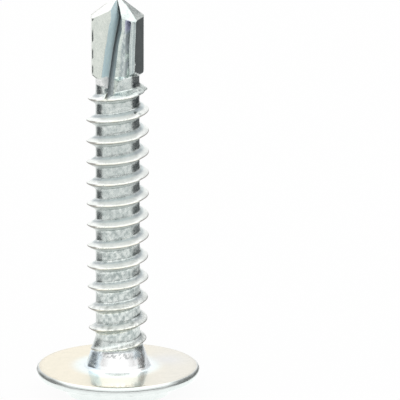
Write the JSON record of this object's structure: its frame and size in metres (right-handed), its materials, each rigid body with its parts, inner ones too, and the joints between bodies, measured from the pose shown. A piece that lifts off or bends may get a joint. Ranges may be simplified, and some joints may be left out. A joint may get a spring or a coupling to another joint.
{
  "type": "self drilling screw",
  "caption": "Self drilling screw with a wide wafer head, a cross recess, a sharp right-hand thread and a fluted drill point.",
  "frame": {"origin": "centre of the flat around the recess, on top of the head, which lies on the floor", "axes": "+Z along the screw from the head to the drill tip, -Y towards the flute that the picture shows"},
  "size_m": [0.011, 0.0108, 0.0267],
  "materials": {
    "zinc_plated_steel": "bright clear zinc plate, slightly grainy in the thread"
  },
  "bodies": {
    "root": {"screw": "zinc_plated_steel"}
  },
  "joints": []
}
